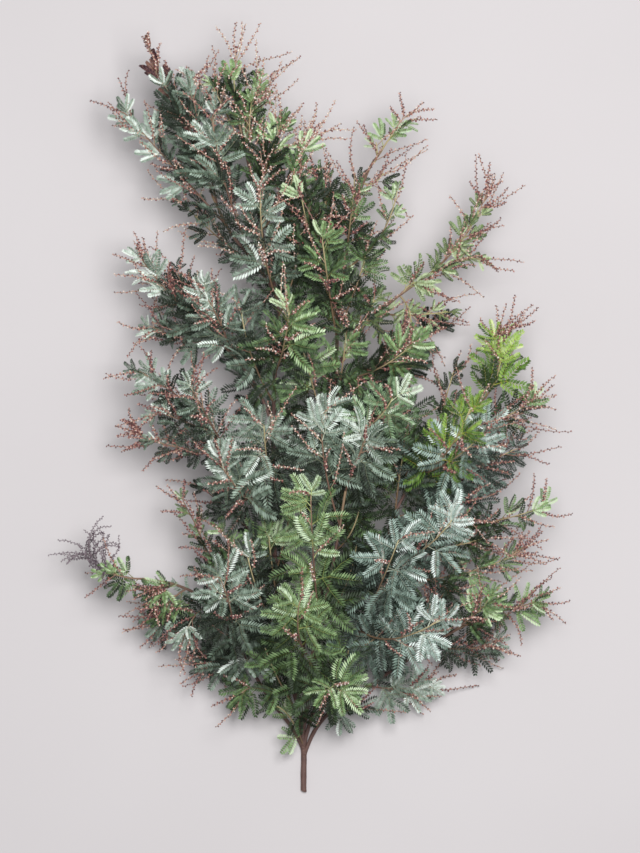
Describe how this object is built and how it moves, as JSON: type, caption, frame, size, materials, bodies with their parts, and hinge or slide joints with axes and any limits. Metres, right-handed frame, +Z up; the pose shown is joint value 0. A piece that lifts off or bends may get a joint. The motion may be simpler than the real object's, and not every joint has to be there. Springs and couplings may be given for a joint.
{
  "type": "cut wattle branch",
  "caption": "Cut, much-forked branch of silver-leaved wattle with ferny leaves and slim sprays of flower buds, lying on its side.",
  "frame": {"origin": "on the table, under the middle of the branch's outline", "axes": "+Y from the cut end to the tips, +Z up from the table, +X to the right as seen from above"},
  "size_m": [0.5232, 0.8172, 0.2254],
  "materials": {
    "bark": "matt, finely ridged bark, purple-brown to red-brown",
    "grey": "matt, pale waxy bloom, grey-green",
    "green": "satin, deep green",
    "bright": "satin, fresh yellow-green",
    "buds": "matt, tan to wine-red bud heads"
  },
  "bodies": {
    "root": {"stem": "bark", "shoot_top_left_tip": "grey", "shoot_top_left_outer": "grey", "shoot_top_left_front": "grey", "shoot_top_tip": "green", "shoot_top_inner": "green", "shoot_top_front": "grey", "shoot_top_left_edge": "grey", "shoot_top_centre": "green", "shoot_top_centre_front": "green", "shoot_right_top_tip": "bright", "shoot_right_top_side": "green", "shoot_right_top_front": "green", "shoot_right_upper_tip": "green", "shoot_right_upper_low": "green", "shoot_right_inner": "green", "shoot_right_inner_front": "grey", "shoot_right_middle_tip": "bright", "shoot_right_middle_out": "green", "shoot_right_middle_front": "grey", "shoot_right_middle_inner": "green", "shoot_right_out": "green", "shoot_right_out_low": "green", "shoot_right_low_tip": "green", "shoot_right_low_under": "grey", "shoot_right_bottom": "grey", "shoot_right_front": "grey", "shoot_right_front_low": "grey", "shoot_right_front_inner": "grey", "shoot_centre_green": "bright", "shoot_centre_green_low": "bright", "shoot_centre_low": "green", "shoot_centre_front": "grey", "shoot_centre_grey": "grey", "shoot_centre_right": "grey", "shoot_centre_high": "green", "shoot_left_high_tip": "grey", "shoot_left_high_low": "grey", "shoot_left_high_front": "grey", "shoot_left_middle_tip": "grey", "shoot_left_middle_out": "grey", "shoot_left_middle_front": "grey", "shoot_left_inner_front": "grey", "shoot_left_small": "green", "shoot_left_low_tip": "green", "shoot_left_low_out": "grey", "shoot_left_bottom": "grey", "shoot_left_front": "grey", "shoot_under_left": "grey", "shoot_under_right": "grey", "shoot_under_low_left": "grey", "shoot_under_low_right": "grey", "buds_top_tip": "buds", "buds_top_inner": "buds", "buds_right_top_tip": "buds", "buds_right_upper_tip": "buds", "buds_right_middle_tip": "buds", "buds_right_out_low": "buds", "buds_left_low_tip": "buds", "buds_left_middle_out": "buds"}
  },
  "joints": []
}
